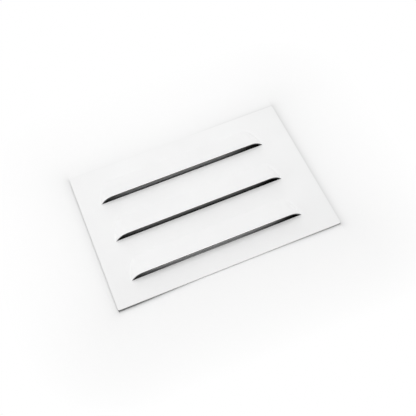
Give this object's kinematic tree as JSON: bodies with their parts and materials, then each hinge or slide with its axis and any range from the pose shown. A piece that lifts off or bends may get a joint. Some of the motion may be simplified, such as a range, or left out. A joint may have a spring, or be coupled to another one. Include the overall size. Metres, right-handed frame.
{
  "type": "louvred air vent plate",
  "caption": "Flat rectangular sheet-metal air vent with raised louvre hoods pressed out of it, open along one side; white powder-coated finish.",
  "frame": {"origin": "middle of the sheet, on its flat back", "axes": "+X along the slits (the long side), +Y from a louvre's mouth to the foot of its hood, +Z out of the louvred face"},
  "size_m": [0.2, 0.14, 0.0075],
  "materials": {
    "white_powder_coat": "fine satin powder coat"
  },
  "bodies": {
    "root": {"vent_plate": "white_powder_coat"}
  },
  "joints": []
}
